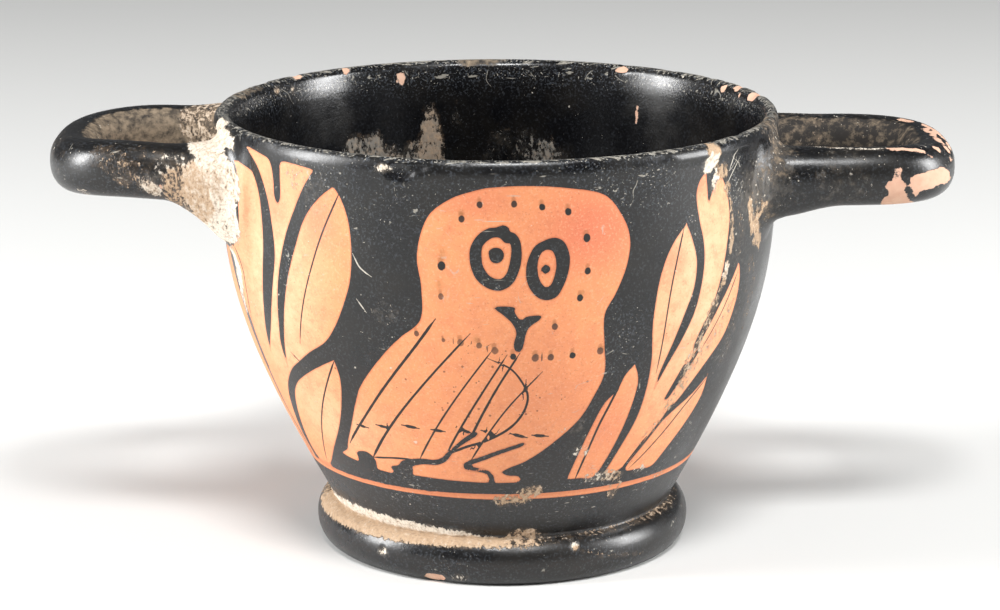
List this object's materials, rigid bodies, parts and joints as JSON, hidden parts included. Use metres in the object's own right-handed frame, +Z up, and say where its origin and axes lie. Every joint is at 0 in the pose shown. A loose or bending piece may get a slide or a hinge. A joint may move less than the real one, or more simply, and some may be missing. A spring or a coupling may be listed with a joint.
{
  "type": "skyphos",
  "caption": "Deep fired-clay drinking cup with a ring foot, level loop handles under the lip, and a painted owl between leafy sprigs.",
  "frame": {"origin": "centre of the underside, on the surface that the cup stands on", "axes": "+Z up out of the mouth, the painted front towards -Y, the handles along -X and +X"},
  "size_m": [0.1558, 0.098, 0.0765],
  "materials": {
    "glossed_clay": "black gloss slip over orange clay, worn at the edges"
  },
  "bodies": {
    "root": {"skyphos": "glossed_clay"}
  },
  "joints": []
}
